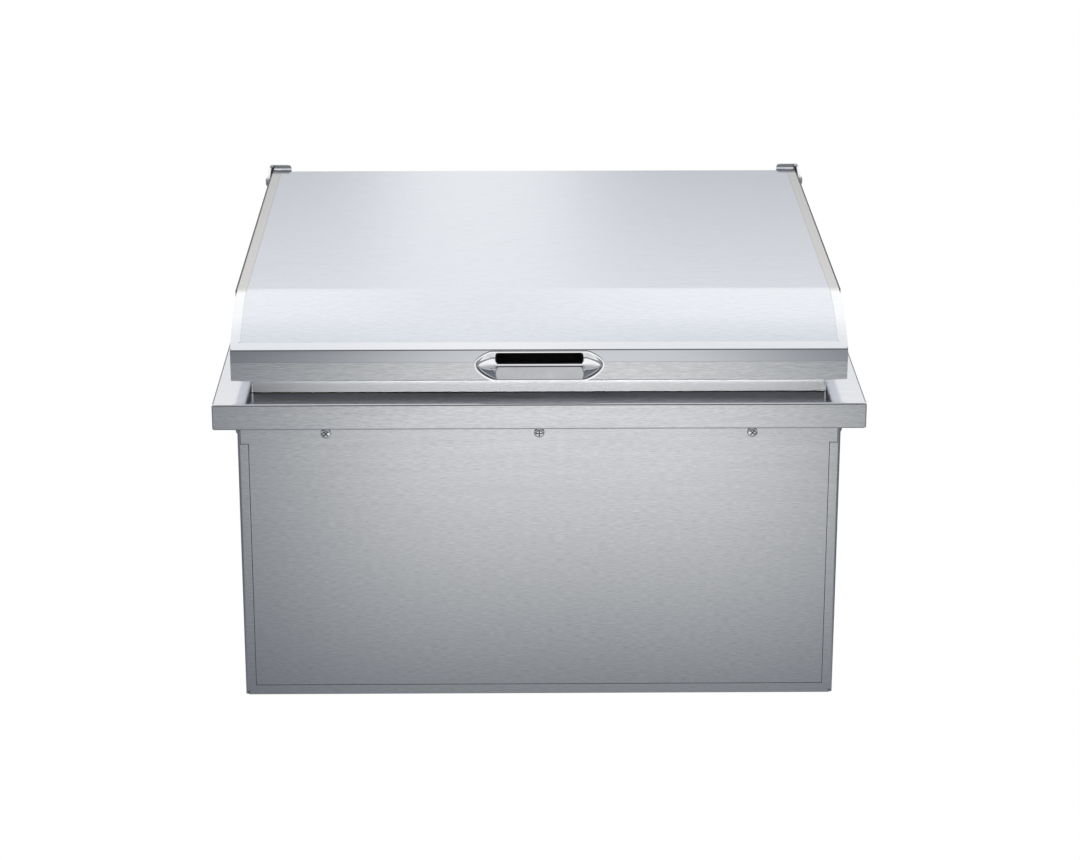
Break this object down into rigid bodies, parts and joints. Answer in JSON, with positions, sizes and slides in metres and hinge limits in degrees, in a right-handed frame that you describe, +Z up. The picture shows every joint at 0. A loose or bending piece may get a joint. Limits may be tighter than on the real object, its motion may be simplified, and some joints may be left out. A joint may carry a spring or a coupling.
{
  "type": "drop-in ice bin",
  "caption": "Insulated stainless ice bin that hangs in a counter cut-out by a skirted rim, with a drained tub under a hinged lid that curves down to a front band with a recessed pull.",
  "frame": {"origin": "middle of the whole part's box in plan, at the flat bottom of the body", "axes": "+X to the right as seen from the front, +Y from the handle to the hinges, +Z up"},
  "size_m": [0.61, 0.6048, 0.387],
  "materials": {
    "brushed_steel": "satin",
    "polished_steel": "polished",
    "chrome": "polished",
    "zinc_steel": "satin",
    "black_plastic": "matte",
    "rubber": "matte",
    "nylon": "satin",
    "foam": "matte"
  },
  "bodies": {
    "cabinet": {"trim_rim": "brushed_steel", "body_frame": "zinc_steel", "liner": "brushed_steel", "front_panel": "brushed_steel", "back_panel": "brushed_steel", "side_panel_right": "brushed_steel", "side_panel_left": "brushed_steel", "bottom_pan": "brushed_steel", "foam_front": "foam", "foam_back": "foam", "foam_side_right": "foam", "foam_side_left": "foam", "foam_bottom": "foam", "front_screw_1": "polished_steel", "front_screw_2": "polished_steel", "front_screw_3": "polished_steel", "back_screw_1": "polished_steel", "back_screw_2": "polished_steel", "back_screw_3": "polished_steel", "side_screw_right_1": "polished_steel", "side_screw_right_2": "polished_steel", "side_screw_right_3": "polished_steel", "side_screw_left_1": "polished_steel", "side_screw_left_2": "polished_steel", "side_screw_left_3": "polished_steel", "drain_body": "polished_steel", "drain_strainer": "polished_steel", "drain_gasket": "rubber", "drain_nut": "nylon", "hinge_bracket_right": "chrome", "hinge_bracket_left": "chrome", "bracket_screw_right_1": "polished_steel", "bracket_screw_right_2": "polished_steel", "bracket_screw_left_1": "polished_steel", "bracket_screw_left_2": "polished_steel", "pivot_bolt_right": "polished_steel", "pivot_bolt_left": "polished_steel", "pivot_nut_right": "zinc_steel", "pivot_nut_left": "zinc_steel"},
    "lid": {"lid_skin": "brushed_steel", "lid_end_cap_right": "polished_steel", "lid_end_cap_left": "polished_steel", "lid_front_band": "brushed_steel", "lid_inner_pan": "brushed_steel", "lid_foam": "foam", "lid_gasket": "rubber", "handle": "chrome", "handle_cup": "black_plastic", "handle_screw_1": "zinc_steel", "handle_screw_2": "zinc_steel", "hinge_arm_right": "zinc_steel", "hinge_arm_left": "zinc_steel", "pivot_bush_right": "nylon", "pivot_bush_left": "nylon"}
  },
  "joints": [
    {"name": "lid_hinge", "type": "hinge", "parent": "cabinet", "child": "lid", "pos_m": [0, 0.2674, 0.372], "axis": [-1, 0, 0], "range_deg": [0, 105]}
  ]
}
